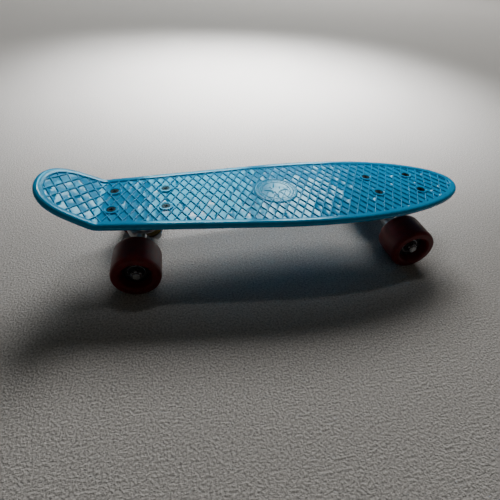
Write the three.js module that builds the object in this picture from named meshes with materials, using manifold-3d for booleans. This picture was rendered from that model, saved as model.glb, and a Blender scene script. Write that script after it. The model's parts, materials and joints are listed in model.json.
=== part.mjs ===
// A small plastic cruiser skateboard: a moulded deck with a kick tail, two sprung
// trucks and four urethane wheels on ball bearings. Millimetres, +Z up, nose at +X.
// The origin is on the ground, under the middle of the whole board.
import * as THREE from "three";
import { mergeVertices } from "three/addons/utils/BufferGeometryUtils.js";
import Module from "manifold-3d";

const wasm = await Module();
wasm.setup();

// Board layout. Deck x values are measured from the middle of the wheelbase.
const wheelbaseCentreX = 6.8;
const halfWheelbase = 183.5;
const deckTopZ = 91.5;

// Deck outline, before the tail is bent up.
const noseTipX = 270;
const widestX = 65;
const widestHalfWidth = 76.2;
const noseRoundness = 2.1;
const shoulderLength = 85;
const taperSlope = 0.095;
const tailKinkX = -220;
const tailLength = 70.13;
const tailTaper = 0.12;
const tailRoundness = 4.6;
const tailAngle = THREE.MathUtils.degToRad(30);
const tailBendRadius = 16;
const outlineStations = 50;

// Deck section, as depths below the deck's top.
const rimHeight = 9;
const rimRadius = 4.5;
const rimWidth = 10.5;
const rimFoot = { inner: 7, web: 9 };
const treadDepth = 0.6;
const webUndersideDepth = 7.2;
const truckPadDepth = 8;
const truckPadLength = 88;
const truckPadWidth = 60;
const deckRib = { y: 24, halfLength: 122, width: 3, depth: 8.6 };
const inWeb = 1;
const crossRibs = { x: [-80, 0, 80], width: 3, halfWidth: 50 };

// Truck screws: 63.5 along the board and 41.3 across it.
const screwSpacingX = 63.5;
const screwSpacingY = 41.3;
const screwRadius = 2.4;
const screwHoleRadius = 2.7;
const screwHeadRadius = 5.5;
const screwHeadHeight = 2.6;
const screwHeadDepth = 0.8;
const screwLength = 19;
const screwPadRadius = 8.5;
const screwPadSink = 0.2;
const lockNut = { radius: 5.5, height: 5 };

// One truck, with +X pointing at the middle of the board and x = 0 above its axle.
const plate = { length: 80, width: 54, thickness: 5, cornerRadius: 9, centreX: 10 };
const gusset = { y: 8, thickness: 4, corners: [[16, 10], [16, -1], [44, -1], [44, 2]] };
const screwCentreX = 10.25;
const axleZ = 30;
const axleRadius = 4;
const axleHalfLength = 77.2;
const hangerHalfWidth = 43;
const hangerBeam = [[9.4, 13], [7.8, 26], [9, 38], [8.6, 43]];
const ringCentre = new THREE.Vector3(17, 0, 50.5);
const pivotCentre = new THREE.Vector3(-16, 0, 73.5);
const kingpinLean = THREE.MathUtils.degToRad(20);

// Stack on the kingpin, as heights from the ring's centre towards the deck.
const ring = { radius: 15.5, thickness: 7, holeRadius: 6.6 };
const kingpin = { radius: 4.75, headRadius: 8, headBottom: 26.7, headTop: 31.7, end: -24.5 };
const kingpinHoleRadius = 5.1;
const seat = { radius: 13, height: 16 };
const bushingTop = { low: 3.8, high: 13.8, lowRadius: 12.5, highRadius: 12.5 };
const bushingBottom = { low: -13.2, high: -3.8, lowRadius: 9.6, highRadius: 11.5 };
const washerTop = { low: 14.1, high: 15.7, radius: 12.5 };
const washerBottom = { low: -15.1, high: -13.5, radius: 11.3 };
const kingpinNut = { low: -22.4, high: -15.4, radius: 8.2 };

// Pivot: the hanger's round nose turns in a plastic cup held by the baseplate.
const pivotBall = 5.2;
const pivotNeck = 4.6;
const hangerNose = [[9.2, -24], [6.5, -12], [5.4, -9], [pivotNeck, -7.5]];
const hangerWeb = { length: 24, width: 22, x: -13 };
const pivotCup = { radius: 8.1, inner: 5.7, mouth: -6.5, top: 6.6 };
const pivotBoss = { radius: 11.5, mouth: -7, pocket: 8.4, pocketTop: 6.9 };

// Wheels: 60 across and 45 wide, on a core with two 608 ball bearings.
const wheelCentreY = 56.5;
const wheel = { radius: 30, width: 45, lipRadius: 5, recessRadius: 20, sides: 32 };
const core = { radius: 16.7, width: 24, pocketRadius: 11.3, throatRadius: 8.5, sides: 20 };
const bearing = { radius: 11, bore: 4.3, width: 7, sides: 16 };
const axleNut = { radius: 7.3, height: 7, faceY: 69.8 };

const finishes = {
  deckPlastic: { color: 0x0b8fc4, roughness: 0.22, metalness: 0 },
  castAluminium: { color: 0xb4b7ba, roughness: 0.38, metalness: 1 },
  zincSteel: { color: 0xc4c6c8, roughness: 0.3, metalness: 1 },
  amberUrethane: { color: 0x6a5a12, roughness: 0.35, metalness: 0 },
  redUrethane: { color: 0x5a0a10, roughness: 0.35, metalness: 0 },
  blackPlastic: { color: 0x101012, roughness: 0.5, metalness: 0 },
  bearingSteel: { color: 0x9a9ca0, roughness: 0.25, metalness: 1 },
};

// ---------- shape helpers ----------

// A closed solid from any geometry: only positions are kept and shared corners are merged.
function toSolid(geometry) {
  const bare = new THREE.BufferGeometry();
  bare.setAttribute("position", geometry.getAttribute("position").clone());
  if (geometry.index) {
    bare.setIndex(geometry.index.clone());
  }
  const merged = mergeVertices(bare, 1e-4);
  const corners = [];
  for (let i = 0; i < merged.index.count; i += 3) {
    const [a, b, c] = [0, 1, 2].map((k) => merged.index.getX(i + k));
    if (a !== b && b !== c && c !== a) {
      corners.push(a, b, c);
    }
  }
  return new wasm.Manifold(new wasm.Mesh({
    numProp: 3,
    vertProperties: new Float32Array(merged.getAttribute("position").array),
    triVerts: new Uint32Array(corners),
  }));
}

function toGeometry(solid) {
  const mesh = solid.getMesh();
  const geometry = new THREE.BufferGeometry();
  geometry.setAttribute("position", new THREE.BufferAttribute(mesh.vertProperties, 3));
  geometry.setIndex(new THREE.BufferAttribute(mesh.triVerts, 1));
  geometry.computeVertexNormals();
  return geometry;
}

const joined = (first, ...others) => others.reduce((sum, next) => sum.add(next), first);
const cutBy = (first, ...others) => others.reduce((rest, next) => rest.subtract(next), first);

// A turned shape about +Z from [radius, height] pairs, listed from its foot upwards.
function turned(profile, sides) {
  const points = profile.map(([radius, height]) => new THREE.Vector2(radius, height));
  return new THREE.LatheGeometry(points, sides).rotateX(Math.PI / 2);
}

const rod = (radius, low, high, sides = 20) =>
  turned([[0, low], [radius, low], [radius, high], [0, high]], sides);

// A ring whose outer wall runs straight from its low radius to its high radius.
const sleeve = (bore, lowRadius, highRadius, low, high, sides = 16) =>
  turned([[bore, low], [lowRadius, low], [highRadius, high], [bore, high], [bore, low]], sides);

function box(lengthX, widthY, heightZ, x, y, z) {
  return new THREE.BoxGeometry(lengthX, widthY, heightZ).translate(x, y, z);
}

// A flat plate with round corners, from z = low to z = high.
function roundedPlate(length, width, corner, centreX, low, high) {
  const [x, y] = [length / 2, width / 2];
  const shape = new THREE.Shape();
  shape.moveTo(corner - x, -y);
  shape.absarc(x - corner, corner - y, corner, -Math.PI / 2, 0);
  shape.absarc(x - corner, y - corner, corner, 0, Math.PI / 2);
  shape.absarc(corner - x, y - corner, corner, Math.PI / 2, Math.PI);
  shape.absarc(corner - x, corner - y, corner, Math.PI, 1.5 * Math.PI);
  const settings = { depth: high - low, bevelEnabled: false, curveSegments: 5 };
  return new THREE.ExtrudeGeometry(shape, settings).translate(centreX, 0, low);
}

// A hexagonal nut about +Z with a round bore.
function hexNut(radius, bore, low, high) {
  const shape = new THREE.Shape();
  for (let i = 0; i < 6; i += 1) {
    const angle = (i * Math.PI) / 3;
    shape[i ? "lineTo" : "moveTo"](radius * Math.cos(angle), radius * Math.sin(angle));
  }
  shape.closePath();
  shape.holes.push(new THREE.Path().absarc(0, 0, bore, 0, 2 * Math.PI, true));
  const settings = { depth: high - low, bevelEnabled: false, curveSegments: 6 };
  return new THREE.ExtrudeGeometry(shape, settings).translate(0, 0, low);
}

// Moves a shape made about +Z onto a leaning axis through a point of the truck.
const onLeaningAxis = (geometry, point) =>
  geometry.rotateY(-kingpinLean).translate(point.x, point.y, point.z);

function named(name, geometry, finish) {
  const part = new THREE.Mesh(geometry, new THREE.MeshStandardMaterial(finishes[finish]));
  part.name = name;
  return part;
}

// ---------- deck ----------

// Half of the outline from the tail's tip to the nose's tip: a blunt rounded tail, a
// straight taper, a parabola for the shoulder and a long rounded nose.
function halfOutline() {
  const points = [];
  const steps = 160;
  const shoulderX = widestX - shoulderLength;
  const bend = taperSlope / (2 * shoulderLength);
  const widthAt = (x) => x > shoulderX
    ? widestHalfWidth - bend * (widestX - x) ** 2
    : widestHalfWidth - bend * shoulderLength ** 2 - taperSlope * (shoulderX - x);
  const tailHalfWidth = widthAt(tailKinkX);
  for (let i = 0; i <= steps; i += 1) {
    const angle = (Math.PI / 2) * (1 - i / steps);
    const along = tailLength * Math.sin(angle) ** (2 / tailRoundness);
    const width = (tailHalfWidth - tailTaper * along) * Math.cos(angle);
    points.push(new THREE.Vector2(tailKinkX - along, width));
  }
  for (let i = 1; i <= steps; i += 1) {
    const x = tailKinkX + ((widestX - tailKinkX) * i) / steps;
    points.push(new THREE.Vector2(x, widthAt(x)));
  }
  for (let i = 1; i <= steps; i += 1) {
    const angle = (Math.PI / 2) * (i / steps);
    const along = (noseTipX - widestX) * Math.sin(angle) ** (2 / noseRoundness);
    points.push(new THREE.Vector2(widestX + along, widestHalfWidth * Math.cos(angle)));
  }
  return points;
}

// The outline again as evenly spaced stations, each with its inward direction.
function stations(points, count) {
  const travelled = [0];
  for (let i = 1; i < points.length; i += 1) {
    travelled.push(travelled[i - 1] + points[i].distanceTo(points[i - 1]));
  }
  const at = (distance) => {
    let i = 1;
    while (i < points.length - 1 && travelled[i] < distance) {
      i += 1;
    }
    const share = (distance - travelled[i - 1]) / (travelled[i] - travelled[i - 1]);
    return points[i - 1].clone().lerp(points[i], share);
  };
  const total = travelled[travelled.length - 1];
  const reach = total / (4 * count);
  const result = [];
  for (let i = 0; i <= count; i += 1) {
    const distance = (total * i) / count;
    const ahead = at(Math.min(distance + reach, total));
    const along = ahead.sub(at(Math.max(distance - reach, 0)));
    const onTip = i === 0 || i === count;
    const inward = onTip
      ? new THREE.Vector2(i ? -1 : 1, 0)
      : new THREE.Vector2(along.y, -along.x).normalize();
    const point = at(distance);
    result.push({ x: point.x, y: onTip ? 0 : point.y, inward });
  }
  return result;
}

// The deck's edge section as [distance in from the edge, depth below the top], from the
// tread up over the rim and its round nose to the web's underside.
function rimSection() {
  const section = [[rimWidth + 1, treadDepth], [rimWidth - 1, 0]];
  for (let i = 0; i <= 4; i += 1) {
    const angle = (Math.PI * i) / 4;
    section.push([rimRadius * (1 - Math.sin(angle)), rimRadius * (1 - Math.cos(angle))]);
  }
  section.push([rimFoot.inner, rimHeight], [rimFoot.web, webUndersideDepth]);
  return section;
}

// Rolls everything behind the kink up round an arc, then straight on up the tail.
function bendTail(geometry) {
  const startX = tailKinkX + tailBendRadius * Math.tan(tailAngle / 2);
  const position = geometry.getAttribute("position");
  for (let i = 0; i < position.count; i += 1) {
    const behind = startX - position.getX(i);
    if (behind > 0) {
      const turn = Math.min(behind / tailBendRadius, tailAngle);
      const straight = Math.max(behind - tailBendRadius * tailAngle, 0);
      const radius = tailBendRadius - position.getZ(i);
      position.setX(i, startX - radius * Math.sin(turn) - straight * Math.cos(turn));
      position.setZ(i, tailBendRadius - radius * Math.cos(turn) + straight * Math.sin(turn));
    }
  }
  return geometry;
}

// The bare deck: the rim section carried round the outline, closed by strips across.
function deckShell() {
  const half = stations(halfOutline(), outlineStations);
  const mirrored = half.slice(1, -1).reverse().map(({ x, y, inward }) =>
    ({ x, y: -y, inward: new THREE.Vector2(inward.x, -inward.y) }));
  const ringStations = [...half, ...mirrored];
  const section = rimSection();
  const [around, rows] = [ringStations.length, section.length];
  const vertices = [];
  for (const [inset, depth] of section) {
    for (const { x, y, inward } of ringStations) {
      vertices.push(x + inward.x * inset, y + inward.y * inset, -depth);
    }
  }
  const triangles = [];
  for (let row = 0; row < rows - 1; row += 1) {
    for (let i = 0; i < around; i += 1) {
      const next = (i + 1) % around;
      const [a, b] = [row * around + i, row * around + next];
      triangles.push(a, b, b + around, a, b + around, a + around);
    }
  }
  const lastRow = (rows - 1) * around;
  for (let i = 0; i < outlineStations; i += 1) {
    const [left, right] = [i, (around - i) % around];
    const [nextLeft, nextRight] = [i + 1, around - i - 1];
    const strips = [[left, right, nextRight], [left, nextRight, nextLeft]];
    for (const [a, b, c] of strips.filter((corners) => new Set(corners).size === 3)) {
      triangles.push(a, b, c, lastRow + a, lastRow + c, lastRow + b);
    }
  }
  const geometry = new THREE.BufferGeometry();
  geometry.setAttribute("position", new THREE.Float32BufferAttribute(vertices, 3));
  geometry.setIndex(triangles);
  return bendTail(geometry);
}

// Where the truck screws go through the deck, from the middle of the wheelbase.
function deckScrewPlaces() {
  const places = [];
  for (const end of [-1, 1]) {
    for (const alongX of [-0.5, 0.5]) {
      for (const side of [-0.5, 0.5]) {
        const x = end * (halfWheelbase - screwCentreX) + alongX * screwSpacingX;
        places.push([x, side * screwSpacingY]);
      }
    }
  }
  return places;
}

// The rib lattice under the web, reaching a little way up into it.
function deckRibs() {
  const height = deckRib.depth - webUndersideDepth + inWeb;
  const z = -deckRib.depth + height / 2;
  const long = [-1, 1].map((side) =>
    box(2 * deckRib.halfLength, deckRib.width, height, 0, side * deckRib.y, z));
  const across = crossRibs.x.map((x) =>
    box(crossRibs.width, 2 * crossRibs.halfWidth, height, x, 0, z));
  return [...long, ...across];
}

function deckGeometry() {
  const headTop = screwHeadDepth;
  const pads = [-1, 1].map((end) =>
    roundedPlate(truckPadLength, truckPadWidth, plate.cornerRadius + 4,
      end * (halfWheelbase - plate.centreX), -truckPadDepth, inWeb - webUndersideDepth));
  const bosses = deckScrewPlaces().map(([x, y]) =>
    rod(screwPadRadius, -treadDepth - inWeb, -screwPadSink, 16).translate(x, y, 0));
  const holes = deckScrewPlaces().map(([x, y]) => turned([
    [0, -rimHeight],
    [screwHoleRadius, -rimHeight],
    [screwHoleRadius, -headTop - screwHeadHeight - 0.4],
    [screwHeadRadius + 0.35, -headTop],
    [screwHeadRadius + 0.35, 1],
    [0, 1],
  ], 12).translate(x, y, 0));
  const additions = [...pads, ...deckRibs(), ...bosses];
  const whole = joined(toSolid(deckShell()), ...additions.map(toSolid));
  return toGeometry(cutBy(whole, ...holes.map(toSolid)));
}

function addDeck(board) {
  const deck = named("deck", deckGeometry(), "deckPlastic");
  deck.position.set(wheelbaseCentreX, 0, deckTopZ);
  board.add(deck);
}

// ---------- truck screws ----------

function screwGeometry() {
  const foot = -screwHeadDepth - screwLength;
  return turned([
    [0, foot],
    [screwRadius, foot],
    [screwRadius, -screwHeadDepth - screwHeadHeight],
    [screwHeadRadius, -screwHeadDepth],
    [0, -screwHeadDepth],
  ], 12);
}

function addTruckScrews(board) {
  const nutTop = -truckPadDepth - plate.thickness;
  for (const [x, y] of deckScrewPlaces()) {
    const end = x > 0 ? "front" : "rear";
    const reach = Math.abs(x) > halfWheelbase ? "outer" : "inner";
    const side = y > 0 ? "left" : "right";
    const pieces = [
      named(`${end}_screw_${reach}_${side}`, screwGeometry(), "zincSteel"),
      named(`${end}_lock_nut_${reach}_${side}`,
        hexNut(lockNut.radius, screwHoleRadius, nutTop - lockNut.height, nutTop), "zincSteel"),
    ];
    for (const piece of pieces) {
      piece.position.set(wheelbaseCentreX + x, y, deckTopZ);
      board.add(piece);
    }
  }
}

// ---------- truck ----------

const plateTopZ = deckTopZ - truckPadDepth;

function baseplateGeometry() {
  const plateLow = plateTopZ - plate.thickness;
  const above = 60;
  const web = new THREE.Shape(gusset.corners
    .map(([x, below]) => new THREE.Vector2(x, plateLow - below)));
  const gussets = [-1, 1].map((side) =>
    new THREE.ExtrudeGeometry(web, { depth: gusset.thickness, bevelEnabled: false })
      .rotateX(Math.PI / 2).translate(0, side * gusset.y + gusset.thickness / 2, 0));
  const whole = joined(
    toSolid(roundedPlate(plate.length, plate.width, plate.cornerRadius, plate.centreX,
      plateLow, plateTopZ)),
    toSolid(onLeaningAxis(rod(seat.radius, seat.height, above), ringCentre)),
    toSolid(onLeaningAxis(rod(pivotBoss.radius, pivotBoss.mouth, above), pivotCentre)),
    ...gussets.map(toSolid),
  ).intersect(toSolid(box(200, 200, plateTopZ, 0, 0, plateTopZ / 2)));
  const screwHoles = [-0.5, 0.5].flatMap((alongX) => [-0.5, 0.5].map((side) =>
    rod(screwHoleRadius, plateLow - 30, plateTopZ + 1, 12)
      .translate(screwCentreX + alongX * screwSpacingX, side * screwSpacingY, 0)));
  return toGeometry(cutBy(
    whole,
    toSolid(onLeaningAxis(rod(kingpinHoleRadius, 0, above, 16), ringCentre)),
    toSolid(onLeaningAxis(rod(kingpin.headRadius + 0.4, kingpin.headBottom - 0.3, above),
      ringCentre)),
    toSolid(onLeaningAxis(rod(pivotBoss.pocket, pivotBoss.mouth - 1, pivotBoss.pocketTop, 20),
      pivotCentre)),
    ...screwHoles.map(toSolid),
  ));
}

// The pivot's end of a turned profile: a quarter circle from the wall to the axis.
const domeProfile = (radius) => [0, 1, 2, 3].map((i) => {
  const angle = (Math.PI * i) / 6;
  return [i < 3 ? radius * Math.cos(angle) : 0, radius * Math.sin(angle)];
});

function pivotCupGeometry() {
  const inside = domeProfile(pivotCup.inner).reverse();
  return turned([
    ...inside,
    [pivotCup.inner + 0.2, pivotCup.mouth],
    [pivotCup.radius, pivotCup.mouth],
    [pivotCup.radius, pivotCup.top],
    [0, pivotCup.top],
  ], 16);
}

// The hanger: a beam round the axle, a nose up to the pivot and a ring for the kingpin.
function hangerGeometry() {
  const halfBeam = [...hangerBeam, [0, hangerHalfWidth]];
  const beamProfile = [
    ...halfBeam.map(([radius, y]) => [radius, -y]).reverse(),
    ...halfBeam,
  ];
  const beam = turned(beamProfile, 16).rotateX(Math.PI / 2).translate(0, 0, axleZ);
  const noseFoot = -pivotCentre.distanceTo(new THREE.Vector3(0, 0, axleZ));
  const nose = turned([
    [0, noseFoot],
    [hangerNose[0][0], noseFoot],
    ...hangerNose.slice(1),
    [pivotNeck, -2.5],
    ...domeProfile(pivotBall),
  ], 16);
  const { length, width, x } = hangerWeb;
  const web = box(length, width, ring.thickness - 0.6, x, 0, 0);
  const hole = rod(ring.holeRadius, -ring.thickness, ring.thickness, 16);
  const axleHole = rod(axleRadius + 0.3, -60, 60, 16).rotateX(Math.PI / 2)
    .translate(0, 0, axleZ);
  const whole = joined(
    toSolid(beam),
    toSolid(onLeaningAxis(nose, pivotCentre)),
    toSolid(onLeaningAxis(rod(ring.radius, -ring.thickness / 2, ring.thickness / 2),
      ringCentre)),
    toSolid(onLeaningAxis(web, ringCentre)),
  );
  return toGeometry(cutBy(whole, toSolid(onLeaningAxis(hole, ringCentre)),
    toSolid(axleHole)));
}

function kingpinGeometry() {
  return turned([
    [0, kingpin.end],
    [kingpin.radius - 0.6, kingpin.end],
    [kingpin.radius, kingpin.end + 0.8],
    [kingpin.radius, kingpin.headBottom],
    [kingpin.headRadius, kingpin.headBottom],
    [kingpin.headRadius, kingpin.headTop],
    [0, kingpin.headTop],
  ], 12);
}

const stackRing = ({ low, high, radius, lowRadius = radius, highRadius = radius }) =>
  sleeve(kingpinHoleRadius, lowRadius, highRadius, low, high);

function addTruck(board, end) {
  const truck = new THREE.Group();
  const facing = end === "front" ? 1 : -1;
  truck.position.x = wheelbaseCentreX + facing * halfWheelbase;
  truck.rotation.z = end === "front" ? Math.PI : 0;
  const stack = new THREE.Group();
  stack.position.copy(ringCentre);
  stack.rotation.y = -kingpinLean;
  stack.add(
    named(`${end}_kingpin`, kingpinGeometry(), "zincSteel"),
    named(`${end}_washer_top`, stackRing(washerTop), "zincSteel"),
    named(`${end}_bushing_top`, stackRing(bushingTop), "amberUrethane"),
    named(`${end}_bushing_bottom`, stackRing(bushingBottom), "amberUrethane"),
    named(`${end}_washer_bottom`, stackRing(washerBottom), "zincSteel"),
    named(`${end}_kingpin_nut`,
      hexNut(kingpinNut.radius, kingpinHoleRadius, kingpinNut.low, kingpinNut.high),
      "zincSteel"),
  );
  const cup = named(`${end}_pivot_cup`, pivotCupGeometry(), "blackPlastic");
  cup.position.copy(pivotCentre);
  cup.rotation.y = -kingpinLean;
  const axle = named(`${end}_axle`,
    rod(axleRadius, -axleHalfLength, axleHalfLength, 16).rotateX(Math.PI / 2), "zincSteel");
  axle.position.z = axleZ;
  truck.add(
    named(`${end}_baseplate`, baseplateGeometry(), "castAluminium"),
    named(`${end}_hanger`, hangerGeometry(), "castAluminium"),
    cup,
    stack,
    axle,
  );
  board.add(truck);
}

// ---------- wheels ----------

// Half of a wheel's side as [radius, half width] pairs, from the core out to the tread.
function tyreGeometry() {
  const toTread = 1 / Math.cos(Math.PI / wheel.sides);
  const half = wheel.width / 2;
  const side = [[core.radius + 0.3, core.width / 2], [wheel.recessRadius, half - 1.5]];
  side.push([wheel.recessRadius + 1.5, half]);
  for (let i = 0; i <= 2; i += 1) {
    const angle = (Math.PI * i) / 4;
    const radius = wheel.radius - wheel.lipRadius * (1 - Math.sin(angle));
    side.push([radius * toTread, half - wheel.lipRadius * (1 - Math.cos(angle))]);
  }
  const low = side.map(([radius, height]) => [radius, -height]);
  const profile = [...low, ...side.reverse(), low[0]];
  return turned(profile, wheel.sides).rotateZ(Math.PI / wheel.sides).rotateX(Math.PI / 2);
}

function coreGeometry() {
  const half = core.width / 2;
  const step = half - bearing.width - 0.3;
  return turned([
    [core.throatRadius, -step],
    [core.pocketRadius, -step],
    [core.pocketRadius, -half],
    [core.radius, -half],
    [core.radius, half],
    [core.pocketRadius, half],
    [core.pocketRadius, step],
    [core.throatRadius, step],
    [core.throatRadius, -step],
  ], core.sides).rotateX(Math.PI / 2);
}

function addWheel(board, end, side) {
  const [facing, outward] = [end === "front" ? 1 : -1, side === "left" ? 1 : -1];
  const label = `${end}_${side}`;
  const hub = new THREE.Group();
  hub.position.set(wheelbaseCentreX + facing * halfWheelbase, outward * wheelCentreY, axleZ);
  hub.add(named(`${label}_tyre`, tyreGeometry(), "redUrethane"));
  hub.add(named(`${label}_core`, coreGeometry(), "blackPlastic"));
  for (const [place, sign] of [["inner", -1], ["outer", 1]]) {
    const half = bearing.width / 2;
    const shape = sleeve(bearing.bore, bearing.radius, bearing.radius, -half, half,
      bearing.sides);
    const ball = named(`${label}_bearing_${place}`, shape.rotateX(Math.PI / 2),
      "bearingSteel");
    ball.position.y = sign * outward * (core.width / 2 - half);
    hub.add(ball);
  }
  const nut = named(`${label}_axle_nut`,
    hexNut(axleNut.radius, axleRadius + 0.3, -axleNut.height / 2, axleNut.height / 2)
      .rotateX(Math.PI / 2), "zincSteel");
  nut.position.y = outward * (axleNut.faceY + axleNut.height / 2 - wheelCentreY);
  hub.add(nut);
  board.add(hub);
}

// ---------- board ----------

const board = new THREE.Group();
addDeck(board);
addTruckScrews(board);
for (const end of ["front", "rear"]) {
  addTruck(board, end);
  for (const side of ["left", "right"]) {
    addWheel(board, end, side);
  }
}

export default board;
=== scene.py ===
# A small plastic cruiser skateboard: moulded deck, sprung trucks, urethane wheels.
# Sizes in the dictionaries are millimetres, angles are degrees, colours are linear; the
# floor and the window distance are metres.
import bpy
import bmesh
import json
import math
import numpy as np
from mathutils import Matrix, Vector


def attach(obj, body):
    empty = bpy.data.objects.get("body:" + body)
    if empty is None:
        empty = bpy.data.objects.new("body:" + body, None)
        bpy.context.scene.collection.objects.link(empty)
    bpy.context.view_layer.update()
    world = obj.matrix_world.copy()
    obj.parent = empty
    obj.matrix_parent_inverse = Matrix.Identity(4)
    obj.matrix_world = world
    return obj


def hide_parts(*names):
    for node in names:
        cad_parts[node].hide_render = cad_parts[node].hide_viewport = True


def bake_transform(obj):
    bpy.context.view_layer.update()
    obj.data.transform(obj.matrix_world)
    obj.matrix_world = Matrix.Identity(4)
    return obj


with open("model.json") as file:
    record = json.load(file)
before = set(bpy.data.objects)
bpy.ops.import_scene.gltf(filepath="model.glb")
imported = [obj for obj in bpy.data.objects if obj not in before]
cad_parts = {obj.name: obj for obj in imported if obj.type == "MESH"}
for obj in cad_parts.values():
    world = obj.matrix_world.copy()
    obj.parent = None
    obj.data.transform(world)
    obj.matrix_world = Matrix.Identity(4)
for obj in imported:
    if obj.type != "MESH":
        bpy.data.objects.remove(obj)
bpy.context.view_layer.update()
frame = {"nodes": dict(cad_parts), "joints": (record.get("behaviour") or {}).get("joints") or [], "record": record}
toMetres = 0.001
print("frame loaded:", len(frame["nodes"]), "parts")

jointPlace = {j["name"]: np.array(j["pos_m"]) / toMetres for j in frame["joints"]}
mountPlace = {m["name"]: np.array(m["pos_m"]) / toMetres for m in frame["record"]["mounts"]}
middleX = (jointPlace["front_left_wheel_spin"][0] + jointPlace["rear_left_wheel_spin"][0]) / 2
halfWheelbase = jointPlace["front_left_wheel_spin"][0] - middleX


# Quads between neighbouring rows and columns of a grid of points, row by row
def gridFaces(rows, columns, closeRows=False, closeColumns=True):
    r = np.arange(rows if closeRows else rows - 1)[:, None]
    c = np.arange(columns if closeColumns else columns - 1)[None, :]
    r2, c2 = (r + 1) % rows, (c + 1) % columns
    return np.stack([r * columns + c, r * columns + c2,
                     r2 * columns + c2, r2 * columns + c], -1).reshape(-1, 4)


# A new object in the scene, at the origin
def placed(name, data):
    thing = bpy.data.objects.new(name, data)
    bpy.context.scene.collection.objects.link(thing)
    return thing


# Merges doubles and drops slivers, triangulating or turning faces outward if asked
def cleaned(mesh, gap, sliver, triangles=False, outward=False):
    form = bmesh.new()
    form.from_mesh(mesh)
    if triangles:
        bmesh.ops.triangulate(form, faces=form.faces)
    bmesh.ops.remove_doubles(form, verts=form.verts, dist=gap)
    bmesh.ops.dissolve_degenerate(form, edges=form.edges, dist=sliver)
    if outward:
        bmesh.ops.recalc_face_normals(form, faces=form.faces)
    form.to_mesh(mesh)
    form.free()


# A mesh from points in millimetres and equal-sided faces, doubles merged, faces outward
def makeMesh(name, points, faces, outward=True):
    mesh = bpy.data.meshes.new(name)
    mesh.vertices.add(len(points))
    mesh.vertices.foreach_set("co", (np.asarray(points, float) * toMetres).ravel())
    mesh.loops.add(faces.size)
    mesh.loops.foreach_set("vertex_index", faces.ravel().astype(np.int32))
    mesh.polygons.add(len(faces))
    mesh.polygons.foreach_set("loop_start", np.arange(len(faces), dtype=np.int32) * faces.shape[1])
    mesh.update(calc_edges=True)
    cleaned(mesh, 1e-7, 1e-8, outward=outward)
    mesh.validate()
    return mesh


# A profile of corners [radius, height, rounding], each corner swapped for an arc that
# leaves its two sides at the same distance, found from the half angle between them
def roundedProfile(corners, steps=5, closed=False):
    corners = np.array([tuple(c) + (0,) * (3 - len(c)) for c in corners], float)
    points = []
    count = len(corners)
    for i, (r, z, rounding) in enumerate(corners):
        here = np.array([r, z])
        if rounding <= 0 or (not closed and i in (0, count - 1)):
            points.append(here)
            continue
        before, after = corners[i - 1, :2] - here, corners[(i + 1) % count, :2] - here
        before, after = before / np.linalg.norm(before), after / np.linalg.norm(after)
        half = math.acos(np.clip(before @ after, -1, 1)) / 2
        if half > 1.55:
            points.append(here)
            continue
        bisector = (before + after) / np.linalg.norm(before + after)
        centre = here + bisector * rounding / math.sin(half)
        start = here + before * rounding / math.tan(half) - centre
        end = here + after * rounding / math.tan(half) - centre
        sweep = math.pi - 2 * half
        for s in np.linspace(0, 1, steps + 1):
            points.append(centre + (start * math.sin((1 - s) * sweep)
                                    + end * math.sin(s * sweep)) / math.sin(sweep))
    return np.array(points)


# A turned surface: the profile's radius is carried round the axis, held inside a hexagon
# where flats are asked for, and lifted and sunk along a helix where there is a thread
def turned(profile, sides=64, flats=None, thread=None, closed=False):
    profile = np.asarray(profile, float)
    angle = np.arange(sides) * 2 * np.pi / sides
    radius = np.repeat(profile[:, :1], sides, 1)
    height = np.repeat(profile[:, 1:2], sides, 1)
    if flats:
        fold = (angle + np.pi / 6) % (np.pi / 3) - np.pi / 6
        radius = np.minimum(radius, flats / 2 / np.cos(fold)[None, :])
    if thread:
        low, high, pitch, depth = thread
        wave = np.abs((height / pitch - angle[None, :] / (2 * np.pi)) % 1 - 0.5) * 2
        on = (height > low) & (height < high) & (radius > 0.5)
        radius = radius - depth * wave * on
    points = np.stack([radius * np.cos(angle), radius * np.sin(angle), height], -1)
    return points.reshape(-1, 3), gridFaces(len(profile), sides, closeRows=closed)


# A plain round bar about Z, to drill and trim with
def rod(radius, low, high, sides=64):
    return turned([(0, low), (radius, low), (radius, high), (0, high)], sides)


# Several surfaces as one list of points and faces
def together(*surfaces):
    points, faces, start = [], [], 0
    for p, f in surfaces:
        points.append(p)
        faces.append(f + start)
        start += len(p)
    return np.concatenate(points), np.concatenate(faces)


# Surface points carried onto an axis: turned about Y by lean, then moved
def leant(surface, lean, place):
    c, s = math.cos(math.radians(lean)), math.sin(math.radians(lean))
    turn = np.array([[c, 0, s], [0, 1, 0], [-s, 0, c]])
    return surface[0] @ turn.T + np.array(place), surface[1]


# A surface made about Z laid along Y, with its top towards +Y
def alongY(surface, place=(0, 0, 0)):
    x, y, z = surface[0].T
    return np.stack([x, z, -y], -1) + np.array(place), surface[1]


# The finished object: smooth shading up to a crease angle, a finish and a body
def addPiece(name, surface, look, body, replaced=(), crease=35):
    data = surface if isinstance(surface, bpy.types.Mesh) else makeMesh(name, *surface)
    data.name = name
    piece = placed(name, data)
    data.materials.clear()
    data.materials.append(finish[look])
    data.shade_smooth()
    data.set_sharp_from_angle(angle=math.radians(crease))
    if body:
        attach(piece, body)
    if replaced:
        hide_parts(*replaced)
    return piece


# A scratch object that only lives while modifiers work on it
def scratch(name, surface):
    return placed(name, surface if isinstance(surface, bpy.types.Mesh)
                  else makeMesh(name, *surface))


# Bakes an object's modifiers into a new mesh and deletes the object
def settled(piece):
    graph = bpy.context.evaluated_depsgraph_get()
    graph.update()
    data = bpy.data.meshes.new_from_object(piece.evaluated_get(graph), depsgraph=graph)
    bpy.data.objects.remove(piece)
    return data


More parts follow.
